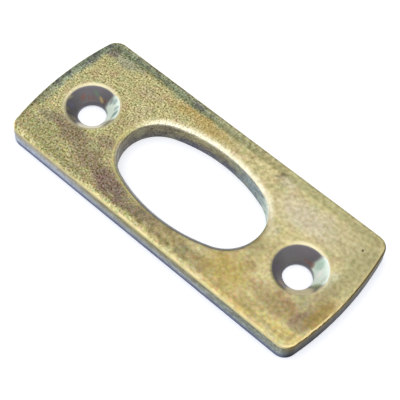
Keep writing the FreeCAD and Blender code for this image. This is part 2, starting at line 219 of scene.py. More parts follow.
# A soft stain in the film: its colour, the middle of its patch and half its width across the plate in
# millimetres, how many times longer it is along the plate, and how much of it shows.
Stain = namedtuple("Stain", "colour centre reach stretch strength")
FACE_STAINS = {
    "grey bloom on the far left": Stain("#969b84", (-19.6, 8.4), 1.8, 2.2, 0.65),
    "pinkish grey on the far left": Stain("#a89a84", (-13.5, 6.4), 1.2, 2.2, 0.30),
    "amber by the opening's far side": Stain("#b49a5c", (-5.6, 7.9), 1.5, 5, 0.70),
    "purple brown below the opening's left end": Stain("#75605a", (-8.0, -7.7), 2.3, 2.2, 0.85),
    "brown left of it": Stain("#7c6a58", (-12.3, -6.8), 2.8, 1.5, 0.70),
    "brown under the left countersink": Stain("#7c6c58", (-17.2, -5.2), 2.2, 2.2, 0.80),
    "purple brown near the left end": Stain("#7a6a60", (-20.8, -5.2), 1.7, 1.5, 0.50),
    "olive left of the opening": Stain("#a0966a", (-12.8, -0.5), 5.2, 0.4, 0.45),
    "purple brown left of the opening": Stain("#7e6c5e", (-12.6, -3.4), 1.8, 1, 0.60),
    "pale gold by the opening's far left": Stain("#c6bc94", (-12.7, 3.0), 2.5, 0.6, 0.40),
    "amber by the opening's far left": Stain("#ae9850", (-9.0, 7.3), 1.2, 1.5, 0.25),
    "olive on the left end": Stain("#7f7a5c", (-24.0, -4.0), 2.6, 0.6, 0.50),
    "olive on the near left roll": Stain("#8b8560", (-15.0, -9.4), 1.4, 5, 0.60),
    "dark bronze below the opening": Stain("#786a58", (-2.0, -8.2), 1.4, 3.2, 0.85),
    "bronze below the opening": Stain("#9a8b62", (3.5, -8.3), 1.8, 3.2, 0.85),
    "olive in the near left corner": Stain("#8d8a60", (-19.6, -7.8), 2.2, 2.2, 0.60),
    "purple by the near roll": Stain("#6e5a58", (-5.6, -8.9), 1, 3.2, 0.55),
    "grey green below the opening": Stain("#848a6a", (5.6, -8.6), 0.75, 2.2, 0.35),
    "brown near the opening's right end": Stain("#8c7750", (8.2, -8.4), 1.8, 1.5, 0.70),
    "gold near the right end": Stain("#b09a56", (11.5, -6.6), 3.3, 1.5, 0.80),
    "olive gold by the opening's right end": Stain("#b7a873", (12.3, -2.5), 4.7, 0.6, 0.50),
    "pale rim at the opening's right end": Stain("#cfc8a8", (11.8, 1.4), 2.1, 0.6, 0.40),
    "olive brown at the opening's right end": Stain("#8f8460", (11.9, -2.2), 2, 0.6, 0.45),
    "pale patch on the far right": Stain("#cdc2a4", (14.2, 5.8), 3, 2.2, 0.80),
    "pale spot by the far edge": Stain("#c4bca4", (9.2, 8.3), 1.4, 1.5, 0.50),
    "straw in the far right corner": Stain("#b7ae86", (20.5, 6.5), 4, 1.5, 0.60),
    "olive by the far right edge": Stain("#a8a470", (14.6, 9.0), 1.1, 2.2, 0.25),
    "olive in the far right corner": Stain("#a3a06e", (21.2, 9.0), 1.3, 2.2, 0.35),
    "bronze under the right countersink": Stain("#98845a", (19.4, -6.0), 2.4, 2.2, 0.80),
    "brown red under the right countersink": Stain("#94745a", (19.2, -4.6), 1.1, 2.2, 0.45),
    "grey green by the right countersink": Stain("#8b8a68", (20.9, -3.2), 1.7, 1, 0.55),
    "olive gold near the right corner": Stain("#a39056", (16.6, -8.4), 1.5, 2.2, 0.55),
    "brown purple at the right end": Stain("#84705a", (22.6, -5.4), 2.9, 0.6, 0.75),
    "brown at the right end": Stain("#8d7c5a", (22.6, -1.0), 3.7, 0.4, 0.60),
    "orange brown on the right roll": Stain("#967e44", (23.9, -3.6), 4.1, 0.4, 0.80),
    "brown spot left of the right countersink": Stain("#8a6c44", (13.5, -4.4), 1.1, 1, 0.45),
    "olive along the right end": Stain("#a59e72", (23.3, 4.0), 7, 0.4, 0.80),
    "bright gold in the near right corner": Stain("#cdb76c", (22.0, -8.6), 1.4, 3.2, 0.60),
    "gold on the near right roll": Stain("#bea462", (14.5, -9.6), 1.3, 5, 0.65),
    "pale glow by the right countersink": Stain("#d0d4bc", (21.6, 0.9), 2, 0.6, 0.35),
}
EDGE_STAINS = {
    "purple spot in the far left corner": Stain("#5d5560", (-22.5, 8.2), 1.1, 1.5, 0.65),
    "dark patch on the left end": Stain("#6a6c60", (-23.7, 5.4), 1.8, 0.6, 0.50),
    "straw green on the far edge": Stain("#c4c49a", (-1.0, 9.6), 1.3, 5, 0.60),
    "straw green further right": Stain("#cdc892", (12.0, 9.6), 1.6, 5, 0.60),
    "purple patch on the far edge": Stain("#6a6474", (-7.7, 9.6), 1, 1.5, 0.65),
    "dark spot by the far edge": Stain("#6b6450", (7.6, 8.5), 0.65, 1, 0.60),
    "pit by the right end": Stain("#3c3428", (21.8, 6.9), 0.3, 1, 0.95),
}
CONE_STAINS = {
    "red film in the left countersink": Stain("#a4705e", (-20.75, 0.35), 0.75, 0.4, 0.65),
    "red film beside it": Stain("#987066", (-20.2, 1.10), 0.35, 1, 0.60),
    "brown film after it": Stain("#907068", (-19.85, 1.5), 0.3, 1, 0.50),
    "green film in the left countersink": Stain("#7c9c78", (-19.7, 1.98), 0.25, 2.2, 0.60),
    "gold film in the left countersink": Stain("#d4bc84", (-18.85, 1.9), 0.25, 2.2, 0.85),
    "brown film in the left countersink": Stain("#a07458", (-18.3, 2.05), 0.2, 2.2, 0.75),
    "blue film on the left countersink's left side": Stain("#8a88a4", (-20.7, -1.8), 0.7, 0.6, 0.60),
    "olive film on the left countersink's left rim": Stain("#bab388", (-21.55, -1.3), 0.75, 0.4, 0.75),
    "olive film further round": Stain("#b0a884", (-20.5, -2.95), 0.5, 1, 0.75),
    "olive film at its near side": Stain("#b6ae88", (-19.0, -3.4), 0.85, 1, 0.75),
    "red film in the right countersink": Stain("#a8705c", (17.8, 1.85), 0.2, 2.2, 0.75),
    "brown film beside it": Stain("#987468", (17.2, 1.7), 0.2, 2.2, 0.60),
    "violet film on the right countersink's left side": Stain("#8e8098", (15.4, -1.7), 0.7, 0.6, 0.55),
    "brown film at its near side": Stain("#b89c84", (17.2, -3.2), 0.8, 1, 0.75),
}
# Tints laid over the painted highlight in the countersinks.
PAINTED_HIGHLIGHT_TINTS = {
    "teal streak in the left countersink": Stain("#7c9c92", (-15.2, 0.8), 1.2, 0.4, 0.85),
    "teal by the left countersink's rim": Stain("#a2b8b2", (-15.8, 1.75), 0.6, 0.6, 0.85),
    "teal further round it": Stain("#a2b6b0", (-16.7, 2.45), 0.6, 1, 0.85),
    "dark edge of the left bloom": Stain("#5f6a68", (-17.3, 2.3), 0.6, 0.6, 0.60),
    "beige in the left countersink": Stain("#d8d8b4", (-15.4, -0.9), 1.5, 0.6, 0.85),
    "red edge of the right bloom": Stain("#a07868", (18.35, 1.8), 0.45, 1, 0.80),
    "aqua edge of the right bloom": Stain("#b0ceb8", (19.2, 2.15), 0.8, 1, 0.75),
    "white in the right countersink": Stain("#fffff2", (19.8, 1.25), 0.7, 0.6, 0.90),
    "pale green by the right countersink's rim": Stain("#cfd8c2", (20.9, 0.6), 0.7, 0.6, 0.70),
    "green on the right countersink's near side": Stain("#a4ac84", (20.8, -0.6), 0.95, 1, 0.90),
}

# What the materials' zones are read from: the plate's coordinates, two wavering copies of them, distances in
# metres from the outer wall, its notched shoulder, the opening's wall and the screws' axes, a noise of three
# channels, and the grain.
Spots = namedtuple("Spots", "coords gentle ragged x y z edge shoulder opening screw tints grain")


def add(tree, kind, inputs=None, **settings):
    """Add a node, set its properties and give its sockets their values or links."""
    node = tree.nodes.new(kind)
    for name, value in settings.items():
        setattr(node, name, value)
    for socket, value in (inputs or {}).items():
        if isinstance(value, bpy.types.NodeSocket):
            tree.links.new(value, node.inputs[socket])
        else:
            node.inputs[socket].default_value = value
    return node


def lay(tree, under, over, measure, start, full, share=1.0):
    """Lay one colour over another: none of it where the measure is at start, and its share where at full."""
    step = add(tree, "ShaderNodeMapRange", {"Value": measure, "From Min": start, "From Max": full,
                                            "To Max": share}, interpolation_type="SMOOTHSTEP")
    return add(tree, "ShaderNodeMix", {"Factor": step.outputs["Result"], "A": under, "B": over},
               data_type="RGBA").outputs["Result"]


def off(tree, measure, middle):
    """How far a measure is from its middle value, either way."""
    step = add(tree, "ShaderNodeMath", {0: measure, 1: middle}, operation="SUBTRACT")
    return add(tree, "ShaderNodeMath", {0: step.outputs[0]}, operation="ABSOLUTE").outputs[0]


def wavered(tree, measure, noise, swing):
    """A measure that a noise shifts, by swing from end to end."""
    step = add(tree, "ShaderNodeMath", {0: noise, 1: swing, 2: -swing / 2}, operation="MULTIPLY_ADD")
    return add(tree, "ShaderNodeMath", {0: measure, 1: step.outputs[0]}).outputs[0]


def from_screws(tree, plan, shift=Vector((0, 0))):
    """Plan distance from the nearer screw's axis, or from a place shifted off that axis."""
    away = [add(tree, "ShaderNodeVectorMath", {0: plan, 1: (*(hole.xy + shift), 0)},
                operation="DISTANCE").outputs["Value"] for hole in HOLES]
    return add(tree, "ShaderNodeMath", {0: away[0], 1: away[1]}, operation="MINIMUM").outputs[0]


def stained(tree, film, coords, stains):
    """The film with its stains on it."""
    plans = {stretch: add(tree, "ShaderNodeVectorMath", {0: coords, 1: (1 / stretch, 1, 0)},
                          operation="MULTIPLY").outputs[0]
             for stretch in {stain.stretch: None for stain in stains.values()}}
    for stain in stains.values():
        x, y = stain.centre
        middle = (x * MM / stain.stretch, y * MM, 0)
        away = add(tree, "ShaderNodeVectorMath", {0: plans[stain.stretch], 1: middle},
                   operation="DISTANCE").outputs["Value"]
        reach = stain.reach * MM
        film = lay(tree, film, rgba(stain.colour), away, reach, STAIN_CORE * reach, stain.strength)
    return film


def find_spots(tree, finish):
    """Add the nodes that the zones of the skin are read from."""
    coords = add(tree, "ShaderNodeTexCoord").outputs["Object"]
    waver = add(tree, "ShaderNodeTexNoise", {"Vector": coords, "Scale": 1 / WAVER_SIZE, "Detail": 3.0})
    centred = add(tree, "ShaderNodeVectorMath", {0: waver.outputs["Color"], 1: (0.5, 0.5, 0.5)},
                  operation="SUBTRACT")
    plan = add(tree, "ShaderNodeVectorMath", {0: coords, 1: (1, 1, 0)}, operation="MULTIPLY").outputs[0]
    gentle, ragged = (add(tree, "ShaderNodeVectorMath",
                          {0: centred.outputs[0], 1: (swing, swing, 0), 2: plan},
                          operation="MULTIPLY_ADD").outputs[0]
                      for swing in (GENTLE_SWING, RAGGED_SWING))
    place = add(tree, "ShaderNodeSeparateXYZ", {0: coords}).outputs
    screw = from_screws(tree, plan)
    clouds = add(tree, "ShaderNodeTexNoise", {"Vector": coords, "Scale": 1 / CLOUD_SIZE, "Detail": 2.0})
    tints = add(tree, "ShaderNodeSeparateColor", {0: clouds.outputs["Color"]}).outputs
    edge, opening = (add(tree, "ShaderNodeAttribute", attribute_name=name).outputs["Fac"]
                     for name in (FROM_EDGE, FROM_OPENING))
    # The tarnished end is rough to the eye, and the cleaner end soft, with grain about twice as wide.
    rough = add(tree, "ShaderNodeTexNoise", {"Vector": coords, "Scale": 1 / finish.grain, "Detail": 2.0,
                                             "Roughness": 0.85})
    soft = add(tree, "ShaderNodeTexNoise", {"Vector": coords, "Scale": 0.52 / finish.grain, "Detail": 2.0})
    clean = add(tree, "ShaderNodeMapRange", {"Value": place["X"], "From Min": TARNISHED_END,
                                             "From Max": CLEAN_END})
    grain = add(tree, "ShaderNodeMix", {"Factor": clean.outputs["Result"], "A": rough.outputs["Fac"],
                                        "B": soft.outputs["Fac"]}).outputs["Result"]
    # The shoulder of the right end is notched, and further in towards the far corner.
    inset = add(tree, "ShaderNodeMapRange", {"Value": place["Y"], "From Min": -1 * MM, "From Max": 3 * MM,
                                             "To Max": 0.06 * MM})
    notch = add(tree, "ShaderNodeMapRange", {"Value": soft.outputs["Fac"], "From Min": 0.48, "From Max": 0.75,
                                             "To Min": inset.outputs["Result"], "To Max": 0.10 * MM})
    at_right = add(tree, "ShaderNodeMapRange", {"Value": place["X"], "From Min": 22.5 * MM,
                                                "From Max": RIGHT_END})
    bite = add(tree, "ShaderNodeMath", {0: notch.outputs["Result"], 1: at_right.outputs["Result"]},
               operation="MULTIPLY")
    shoulder = add(tree, "ShaderNodeMath", {0: edge, 1: bite.outputs[0]}, operation="SUBTRACT").outputs[0]
    return Spots(coords, gentle, ragged, place["X"], place["Y"], place["Z"], edge, shoulder, opening,
                 screw, tints, grain)


def speckled(tree, spots, film):
    """The film with its blasted grain, strong on the tarnished end, faint on the other and on the rims."""
    strength = add(tree, "ShaderNodeMapRange", {"Value": spots.x, "From Min": TARNISHED_END,
                                                "From Max": CLEAN_END, "To Min": 1.0, "To Max": 0.22})
    rim = add(tree, "ShaderNodeMapRange", {"Value": spots.opening, "From Min": 0.3 * MM, "From Max": 1.3 * MM,
                                           "To Min": 0.5, "To Max": 1.0})
    strength = add(tree, "ShaderNodeMath", {0: strength.outputs["Result"], 1: rim.outputs["Result"]},
                   operation="MULTIPLY")
    # Pale specks lose some yellow and dark ones gain it, so the blue swings the most.
    specks = add(tree, "ShaderNodeVectorMath", {0: spots.grain, 1: (4.6, 4.8, 6.2), 2: (-1.3, -1.4, -2.1)},
                 operation="MULTIPLY_ADD")
    film = add(tree, "ShaderNodeMix", {"Factor": strength.outputs[0], "A": film, "B": specks.outputs[0]},
               data_type="RGBA", blend_type="MULTIPLY", clamp_result=True).outputs["Result"]
    # The colour of the film shifts from fleck to fleck, most of all on the near side.
    flecks = add(tree, "ShaderNodeTexNoise", {"Vector": spots.coords, "Scale": 1 / FLECK_SIZE, "Detail": 2.0})
    hues = add(tree, "ShaderNodeVectorMath",
               {0: flecks.outputs["Color"], 1: (0.5, 0.5, 0.9), 2: (0.75, 0.75, 0.55)},
               operation="MULTIPLY_ADD")
    near = add(tree, "ShaderNodeMapRange", {"Value": spots.y, "From Min": 3 * MM, "From Max": -6 * MM,
                                            "To Min": 0.3, "To Max": 1.0})
    return add(tree, "ShaderNodeMix", {"Factor": near.outputs["Result"], "A": film, "B": hues.outputs[0]},
               data_type="RGBA", blend_type="MULTIPLY", clamp_result=True).outputs["Result"]


def far_left_edge_band(tree, finish, spots, film):
    """Green grey band with a dark mottle, frayed, on the edges that look to the far left."""
    far_left = add(tree, "ShaderNodeVectorMath", {0: spots.ragged, 1: (-0.5, 0.87, 0)},
                   operation="DOT_PRODUCT")
    share = add(tree, "ShaderNodeMapRange", {"Value": far_left.outputs["Value"], "From Min": 6 * MM,
                                             "From Max": 13 * MM, "To Max": 0.9},
                interpolation_type="SMOOTHSTEP").outputs["Result"]
    frayed = wavered(tree, wavered(tree, spots.edge, spots.tints["Blue"], 2.2 * MM), spots.grain, 1.0 * MM)
    film = lay(tree, film, rgba(finish.tinted_patch), frayed, 1.9 * MM, 0.9 * MM, share)
    mottle = add(tree, "ShaderNodeMapRange", {"Value": spots.tints["Red"], "From Min": 0.46, "From Max": 0.66,
                                              "To Max": share})
    return lay(tree, film, rgba("#666868"), frayed, 1.7 * MM, 0.8 * MM, mottle.outputs["Result"])


def rolled_edges(tree, finish, spots, film):
    """The rolls: the opening's far rim pale from wear with a painted highlight, painted shade lines where the
    outer roll starts, and a painted highlight on the far edge's rim.
    """
    # The opening's far rim: pale from wear, with a painted highlight over it on the far side only.
    across = add(tree, "ShaderNodeMapRange", {"Value": spots.y, "From Min": 0.5 * MM, "From Max": 5 * MM,
                                              "To Max": 0.80},
                 interpolation_type="SMOOTHSTEP").outputs["Result"]
    film = lay(tree, film, rgba(finish.wear_and_highlight), spots.opening, 1.2 * MM, 0.45 * MM, across)
    film = lay(tree, film, rgba("#f4edcf"), spots.opening, 0.7 * MM, 0.3 * MM, across)
    # The painted shade line of the near edge is faint.
    near_right = add(tree, "ShaderNodeVectorMath", {0: spots.coords, 1: (0.12, -1, 0)},
                     operation="DOT_PRODUCT")
    share = add(tree, "ShaderNodeMapRange", {"Value": near_right.outputs["Value"], "From Min": 2 * MM,
                                             "From Max": 9 * MM, "To Max": 0.32},
                interpolation_type="SMOOTHSTEP")
    film = lay(tree, film, rgba("#6e643c"), off(tree, spots.edge, 1.08 * MM), 0.45 * MM, 0.1 * MM,
               share.outputs["Result"])
    # The painted shade line of the far edge fades to the right.
    along = add(tree, "ShaderNodeMapRange", {"Value": spots.x, "From Min": -5 * MM, "From Max": 22 * MM,
                                             "To Min": 0.50, "To Max": 0.12})
    far = add(tree, "ShaderNodeMapRange", {"Value": spots.y, "From Min": 8.2 * MM, "From Max": 8.8 * MM,
                                           "To Max": along.outputs["Result"]})
    film = lay(tree, film, rgba("#54582a"), off(tree, spots.edge, 1.2 * MM), 0.6 * MM, 0.1 * MM,
               far.outputs["Result"])
    # The rim of the far edge has a painted highlight, most of all on the right.
    along = add(tree, "ShaderNodeMapRange", {"Value": spots.x, "From Min": -8 * MM, "From Max": 3 * MM,
                                             "To Min": 0.30, "To Max": 0.60})
    far = add(tree, "ShaderNodeMapRange", {"Value": spots.y, "From Min": 8.8 * MM, "From Max": 9.4 * MM,
                                           "To Max": along.outputs["Result"]})
    return lay(tree, film, rgba("#fff4b0"), spots.edge, 0.75 * MM, 0.3 * MM, far.outputs["Result"])


def painted_shoulder_highlights(tree, spots, film):
    """A broken painted highlight along the shoulders: wide on the near shoulder, and thin on the right end's.
    """
    corner = add(tree, "ShaderNodeMapRange", {"Value": spots.x, "From Min": 12 * MM, "From Max": 19 * MM,
                                              "To Min": 0.85, "To Max": 0.40})
    along = add(tree, "ShaderNodeMapRange", {"Value": spots.x, "From Min": -20 * MM, "From Max": -6 * MM,
                                             "To Min": 0.12, "To Max": corner.outputs["Result"]})
    broken = add(tree, "ShaderNodeMapRange", {"Value": spots.tints["Red"], "From Min": 0.40, "From Max": 0.60,
                                              "To Min": 0.35, "To Max": 1.0}).outputs["Result"]
    along = add(tree, "ShaderNodeMath", {0: along.outputs["Result"], 1: broken}, operation="MULTIPLY")
    near = add(tree, "ShaderNodeMapRange", {"Value": spots.y, "From Min": -8.8 * MM, "From Max": -9.6 * MM,
                                            "To Max": along.outputs[0]})
    film = lay(tree, film, rgba("#f2e2aa"), spots.edge, 0.45 * MM, 0.10 * MM, near.outputs["Result"])
    faint = add(tree, "ShaderNodeMapRange", {"Value": spots.y, "From Min": -1 * MM, "From Max": 3 * MM,
                                             "To Min": broken, "To Max": 0.3})
    right = add(tree, "ShaderNodeMapRange", {"Value": spots.x, "From Min": 22.8 * MM, "From Max": 23.8 * MM,
                                             "To Max": faint.outputs["Result"]})
    return lay(tree, film, rgba("#f2dc9c"), spots.shoulder, 0.36 * MM, 0.12 * MM, right.outputs["Result"])


def painted_lip_light_and_shade(tree, spots, film):
    """The opening's near lip: a painted highlight under a painted shade line, with a pale broken painted
    highlight on the left.
    """
    near_left = add(tree, "ShaderNodeVectorMath", {0: spots.coords, 1: (-0.6, -0.8, 0)},
                    operation="DOT_PRODUCT")
    share = add(tree, "ShaderNodeMapRange", {"Value": near_left.outputs["Value"], "From Min": 5.5 * MM,
                                             "From Max": 8.5 * MM, "To Max": 0.45},
                interpolation_type="SMOOTHSTEP")
    # A pale broken painted highlight on the lip's left part.
    line = off(tree, wavered(tree, spots.opening, spots.grain, 0.6 * MM), 0.55 * MM)
    film = lay(tree, film, rgba("#d8cc80"), line, 0.22 * MM, 0.05 * MM, share.outputs["Result"])
    along = add(tree, "ShaderNodeMapRange", {"Value": spots.x, "From Min": -9 * MM, "From Max": -5 * MM,
                                             "To Min": 0.3, "To Max": 0.85})
    across = add(tree, "ShaderNodeMapRange", {"Value": spots.y, "From Min": -1 * MM, "From Max": -4 * MM,
                                              "To Max": along.outputs["Result"]},
                 interpolation_type="SMOOTHSTEP").outputs["Result"]
    # A painted shade line on the lip, and a painted highlight between it and the opening's wall.
    film = lay(tree, film, rgba("#66646a"), spots.opening, 0.50 * MM, 0.36 * MM, across)
    return lay(tree, film, rgba("#f6f4ee"), spots.opening, 0.38 * MM, 0.14 * MM, across)


def rings_of_wear_and_highlight(tree, finish, spots, film):
    """The film pale round the countersinks from wear and a painted highlight, most of all on their far right
    side.
    """
    below = add(tree, "ShaderNodeMapRange", {"Value": spots.x, "From Min": -10 * MM, "From Max": 10 * MM,
                                             "To Min": 0.65, "To Max": 0.05})
    # The wrap gives the place along the plate from the nearer screw's axis.
    beside = add(tree, "ShaderNodeMath", {0: spots.x, 1: HOLES[0].x}, operation="SUBTRACT")
    beside = add(tree, "ShaderNodeMath", {0: beside.outputs[0], 1: HALF_SPACING, 2: -HALF_SPACING},
                 operation="WRAP")
    far_right = add(tree, "ShaderNodeMath", {0: beside.outputs[0], 1: 0.75, 2: spots.y},
                    operation="MULTIPLY_ADD")
    across = add(tree, "ShaderNodeMapRange", {"Value": far_right.outputs[0], "From Min": -2 * MM,
                                              "From Max": 1.5 * MM, "To Min": below.outputs["Result"],
                                              "To Max": 0.85},
                 interpolation_type="SMOOTHSTEP")
    ring = wavered(tree, spots.screw, spots.grain, 0.7 * MM)
    return lay(tree, film, rgba(finish.wear_and_highlight), ring, 4.1 * MM, 3.65 * MM, across.outputs["Result"])


def face_film(tree, finish, spots):
    """Film on the face: straw to olive with faint clouds, stains, a green grey band on two edges, and rims
    pale from wear with painted highlights and painted shade lines.
    """
    film = lay(tree, rgba(finish.olive), rgba(finish.straw), spots.x, TARNISHED_END, CLEAN_END)
    film = lay(tree, film, rgba("#a0aa7a"), spots.tints["Green"], *CLOUD, 0.40)
    film = lay(tree, film, rgba("#b49474"), spots.tints["Red"], *CLOUD, 0.40)
    film = stained(tree, film, spots.ragged, FACE_STAINS)
    film = far_left_edge_band(tree, finish, spots, film)
    film = stained(tree, film, spots.ragged, EDGE_STAINS)
    film = rolled_edges(tree, finish, spots, film)
    film = speckled(tree, spots, film)
    film = painted_shoulder_highlights(tree, spots, film)
    film = painted_lip_light_and_shade(tree, spots, film)
    return rings_of_wear_and_highlight(tree, finish, spots, film)


def sheared_walls(tree, finish, spots, film):
    """Walls over the film: olive under a painted highlight at the shoulder, bluish zinc below, dark fractured
    steel with a painted contact shadow at the foot, and painted shade on the right end.
    """
    # The tools left faint upright lines in the walls, and bands along them.
    lines = add(tree, "ShaderNodeMapping", {"Vector": spots.coords, "Scale": UPRIGHT_LINES})
    scored = add(tree, "ShaderNodeTexNoise", {"Vector": lines.outputs["Vector"], "Scale": 1.0, "Detail": 1.0})
    bands = add(tree, "ShaderNodeMapping", {"Vector": spots.coords, "Scale": LEVEL_BANDS})
    banded = add(tree, "ShaderNodeTexNoise", {"Vector": bands.outputs["Vector"], "Scale": 1.0, "Detail": 2.0})
    scored, banded = scored.outputs["Fac"], banded.outputs["Fac"]
    # The outer wall is paler on the left, greener on the right, and painted dark at the right end as painted
    # shade.
    outer = lay(tree, rgba(finish.zinc), rgba("#a9b4c4"), spots.x, -5 * MM, -14 * MM)
    upper = lay(tree, rgba("#847c44"), rgba("#a69c80"), spots.x, -5 * MM, -14 * MM)
    outer = lay(tree, outer, upper, spots.z, 1.2 * MM, 2.2 * MM)
    outer = lay(tree, outer, rgba("#6e8074"), spots.x, 6 * MM, 15 * MM, 0.50)
    outer = lay(tree, outer, rgba("#6a6450"), scored, *SCORE, 0.35)
    outer = lay(tree, outer, rgba("#5c5848"), banded, 0.47, 0.62, 0.42)
    outer = lay(tree, outer, rgba("#b6bab0"), banded, *PALE_BAND, 0.25)
    outer = lay(tree, outer, rgba("#54565a"), spots.grain, *HOLLOW, 0.45)
    outer = lay(tree, outer, rgba("#c2c8c8"), spots.grain, *TIP, 0.25)
    # A painted highlight just under the shoulder.
    outer = lay(tree, outer, rgba("#d8cc94"), spots.z, 2.58 * MM, 2.73 * MM)
    # Dark fractured steel at the foot, made darker as a painted contact shadow.
    outer = lay(tree, outer, rgba(finish.torn_and_shaded), spots.z, 1.05 * MM, 0.40 * MM)
    # The right end wall is painted dark as painted shade, darkest at its foot.
    dark = lay(tree, rgba("#16181a"), rgba("#34363a"), spots.z, 0.3 * MM, 1.2 * MM)
    dark = lay(tree, dark, rgba("#685a34"), spots.z, 1.2 * MM, 2.6 * MM)
    outer = lay(tree, outer, dark, spots.x, 22.8 * MM, RIGHT_END, 0.95)
    # The opening's wall is brown, with a painted highlight on its far lip, and bare zinc on the right.
    inner = lay(tree, rgba("#5c6072"), rgba("#645f5a"), spots.z, 0.5 * MM, 1.2 * MM)
    inner = lay(tree, inner, rgba(finish.pierced), spots.z, 0.9 * MM, 2.2 * MM)
    inner = lay(tree, inner, rgba("#625b4e"), spots.x, -6.5 * MM, -8.5 * MM, 0.65)
    # The far lip's top carries a painted highlight.
    across = add(tree, "ShaderNodeMapRange", {"Value": spots.y, "From Min": 2 * MM, "From Max": 5 * MM,
                                              "To Max": 0.6})
    inner = lay(tree, inner, rgba("#efe9d0"), spots.z, 2.52 * MM, 2.68 * MM, across.outputs["Result"])
    inner = lay(tree, inner, rgba("#8aa0a6"), spots.x, -1 * MM, 6 * MM, 0.85)
    inner = lay(tree, inner, rgba("#d6eadc"), spots.x, 6 * MM, 9.5 * MM, 0.9)
    inner = lay(tree, inner, rgba("#55514c"), scored, *SCORE, 0.4)
    inner = lay(tree, inner, rgba("#45433f"), banded, 0.48, 0.62, 0.40)
    inner = lay(tree, inner, rgba("#aca27a"), banded, *PALE_BAND, 0.20)
    inner = lay(tree, inner, rgba("#3c3a36"), spots.grain, *HOLLOW, 0.55)
    inner = lay(tree, inner, rgba("#b8ae88"), spots.grain, *TIP, 0.30)
    inner = lay(tree, inner, rgba("#8d8f72"), spots.tints["Green"], *CLOUD, 0.4)
    skin = lay(tree, film, outer, spots.shoulder, *WALL)
    return lay(tree, skin, inner, spots.opening, *WALL)


def countersunk(tree, finish, spots, skin):
    """The skin with its countersinks, and how metallic it is.

    A painted highlight lies on their right side and a painted reflection on their near side. Both creep up
    the rims, and are dull where the cut steel shines.
    """
    cone = stained(tree, rgba(finish.cone), spots.gentle, CONE_STAINS)
    tinted_patch, near = (add(tree, "ShaderNodeMapRange", {"Value": from_screws(tree, spots.gentle, shift),
                                                    "From Min": start, "From Max": full},
                       interpolation_type="SMOOTHSTEP").outputs["Result"]
                   for shift, start, full in (PAINTED_HIGHLIGHT_PATCH, PAINTED_REFLECTION_PATCH))
    cone = lay(tree, cone, rgba(finish.painted_highlight), tinted_patch, 0, 1)
    cone = stained(tree, cone, spots.gentle, PAINTED_HIGHLIGHT_TINTS)
    pale = lay(tree, rgba("#f4ecd0"), rgba("#d0c296"), spots.x, -1 * MM, 1 * MM)
    cone = lay(tree, cone, pale, near, 0, 1)
    # The bore under the cone is painted dark as painted shade, and at its foot it carries a painted
    # reflection of the floor.
    cone = lay(tree, cone, rgba("#5a585e"), spots.z, 1.12 * MM, 1.02 * MM, 0.8)
    cone = lay(tree, cone, rgba("#eceef2"), spots.z, 0.38 * MM, 0.24 * MM, 0.9)
    dull = add(tree, "ShaderNodeMath", {0: tinted_patch, 1: near}, operation="MAXIMUM").outputs[0]
    shine = add(tree, "ShaderNodeMapRange", {"Value": dull, "To Min": 1.0, "To Max": 0.15})
    creep = add(tree, "ShaderNodeMath", {0: dull, 1: -0.28 * MM, 2: spots.screw},
                operation="MULTIPLY_ADD").outputs[0]
    # A bright painted highlight line along the rim, on the side of the painted highlight.
    cone = lay(tree, cone, rgba("#f6fff4"), off(tree, creep, 3.42 * MM), 0.16 * MM, 0.05 * MM, tinted_patch)
    skin = lay(tree, skin, cone, creep, RIM_START, RIM_FULL)
    metallic = add(tree, "ShaderNodeMapRange", {"Value": creep, "From Min": RIM_FULL, "From Max": RIM_START,
                                                "To Min": shine.outputs["Result"]})
    return skin, metallic.outputs["Result"]


def passivated_zinc(finish):
    """Zinc plate under a yellow chromate film, tumbled and long handled.

    The film shows straw and olive over a satin metal, with a fine blasted grain, brown and green stains,
    bluish zinc on the sheared walls and dark cut steel in the countersinks.
    """
    material = bpy.data.materials.new("yellow_passivated_zinc")
    material.use_nodes = True
    tree = material.node_tree
    tree.nodes.clear()
    spots = find_spots(tree, finish)
    skin = sheared_walls(tree, finish, spots, face_film(tree, finish, spots))
    skin, metallic = countersunk(tree, finish, spots, skin)

    # The film is satin and a little uneven, and the cut countersinks are duller.
    uneven = add(tree, "ShaderNodeMapRange", {"Value": spots.tints["Blue"], "From Min": 0.3, "From Max": 0.7,
                                              "To Min": finish.roughness - 0.05,
                                              "To Max": finish.roughness + 0.06})
    cut = add(tree, "ShaderNodeMapRange", {"Value": spots.screw, "From Min": 3.3 * MM, "From Max": 3.65 * MM,
                                           "To Min": 1.35, "To Max": 1.0})
    roughness = add(tree, "ShaderNodeMath", {0: uneven.outputs["Result"], 1: cut.outputs["Result"]},
                    operation="MULTIPLY")
    # The right wall's reflection at a low angle is dimmed as painted shade, most of all at its foot.
    foot = lay(tree, rgba("#dcdcdc"), rgba("#c4c4c4"), spots.z, 1.3 * MM, 0.4 * MM)
    shaded_end_tint = lay(tree, rgba("#ffffff"), foot, spots.x, 23.0 * MM, RIGHT_END)
    flare = lay(tree, rgba("#ffffff"), shaded_end_tint, spots.shoulder, *WALL)
    bump = add(tree, "ShaderNodeBump", {"Height": spots.grain, "Distance": finish.grain_depth})
    shader = add(tree, "ShaderNodeBsdfPrincipled", {"Base Color": skin, "Metallic": metallic,
                                                    "Roughness": roughness.outputs[0], "Specular Tint": flare,
                                                    "Normal": bump.outputs["Normal"]})
    add(tree, "ShaderNodeOutputMaterial", {"Surface": shader.outputs[0]})
    return material


